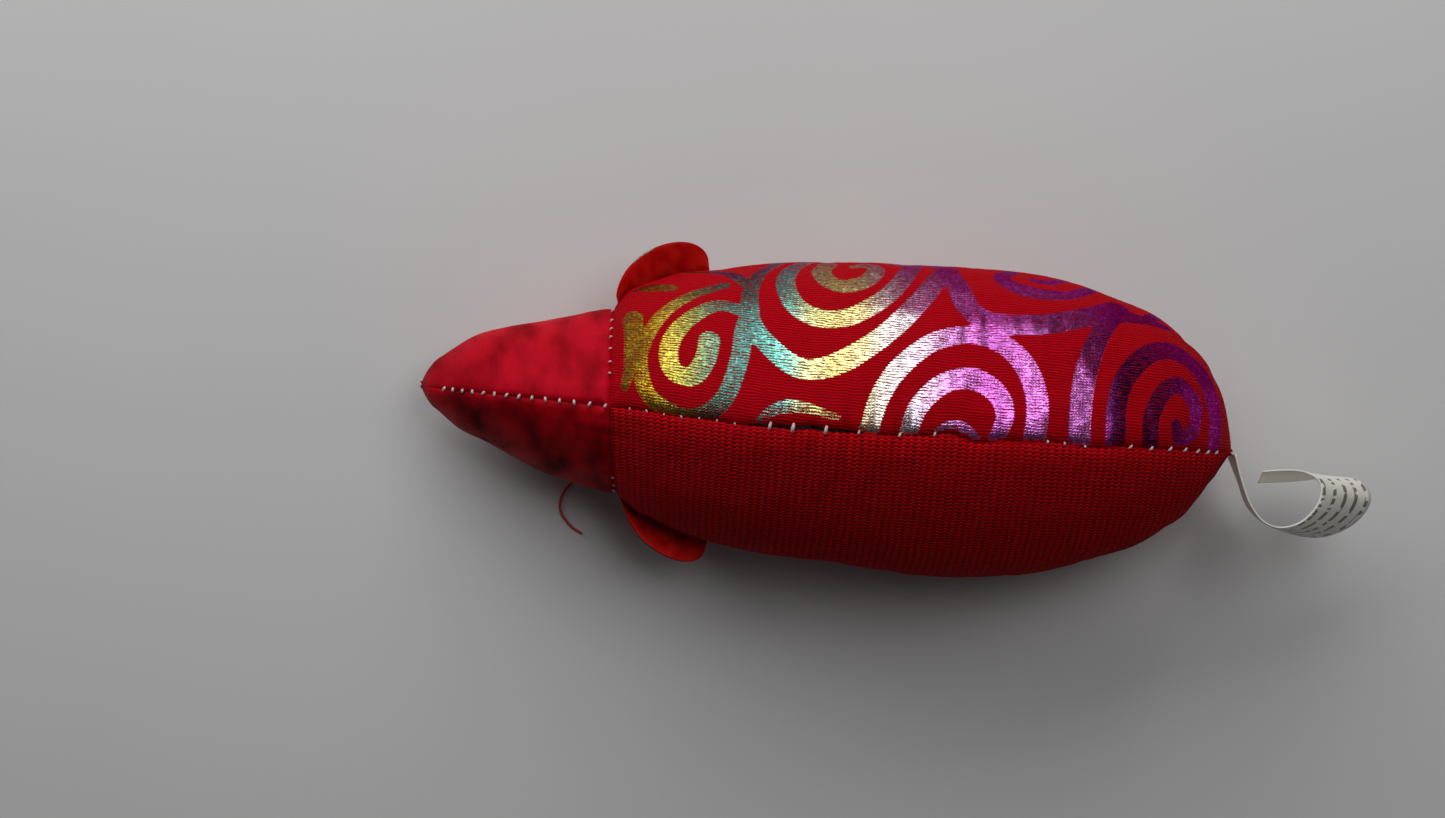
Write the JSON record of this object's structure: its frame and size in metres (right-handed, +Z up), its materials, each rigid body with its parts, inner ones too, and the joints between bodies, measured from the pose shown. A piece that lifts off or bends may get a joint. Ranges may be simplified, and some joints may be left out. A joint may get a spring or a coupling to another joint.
{
  "type": "stuffed cloth toy mouse",
  "caption": "Small stuffed cloth mouse with a pointed head, two folding ears, a swirl-printed flank, a plain flank, a flat belly and a curled care label at the rear.",
  "frame": {"origin": "middle of the flat belly, on the surface that the toy rests on, half way between nose and rear tip", "axes": "+X from the nose to the rear tip, +Y to the swirl-printed flank, +Z up"},
  "size_m": [0.1756, 0.0599, 0.0467],
  "materials": {
    "head_velour": "short-pile red satin velour, soft blotchy sheen",
    "printed_knit": "red knit with a rainbow foil swirl print",
    "plain_knit": "plain red mesh knit, matt",
    "fibre": "loose white polyester fibre",
    "white_thread": "white spun polyester sewing thread",
    "red_thread": "red spun polyester sewing thread",
    "satin_ribbon": "off-white printed satin ribbon"
  },
  "bodies": {
    "mouse_body": {"head_panel_left": "head_velour", "head_panel_right": "head_velour", "body_panel_printed": "printed_knit", "body_panel_plain": "plain_knit", "belly_panel": "plain_knit", "fibre_filling": "fibre", "head_top_seam_thread": "white_thread", "head_chin_seam_thread": "white_thread", "body_top_seam_thread_front": "white_thread", "closing_seam_thread": "white_thread", "body_top_seam_thread_rear": "white_thread", "neck_seam_thread_left": "white_thread", "neck_seam_thread_right": "white_thread", "belly_seam_thread_left": "red_thread", "belly_seam_thread_right": "red_thread", "loose_thread": "red_thread"},
    "ear_left": {"ear_left_outer": "head_velour", "ear_left_lining": "printed_knit"},
    "ear_right": {"ear_right_outer": "head_velour", "ear_right_lining": "printed_knit"},
    "label": {"care_label": "satin_ribbon"}
  },
  "joints": [
    {"name": "ear_left_fold", "type": "hinge", "parent": "mouse_body", "child": "ear_left", "pos_m": [-0.0396, 0.0179, 0.013], "axis": [0, 0, 1], "range_deg": [-4, 65], "stiffness_Nm_per_rad": 0.0004},
    {"name": "ear_right_fold", "type": "hinge", "parent": "mouse_body", "child": "ear_right", "pos_m": [-0.0369, -0.0192, 0.013], "axis": [0, 0, -1], "range_deg": [-4, 65], "stiffness_Nm_per_rad": 0.0004},
    {"name": "label_swing", "type": "hinge", "parent": "mouse_body", "child": "label", "pos_m": [0.075, -0.0003, 0.0175], "axis": [0, 0, 1], "range_deg": [-30, 75], "stiffness_Nm_per_rad": 0.0002}
  ]
}
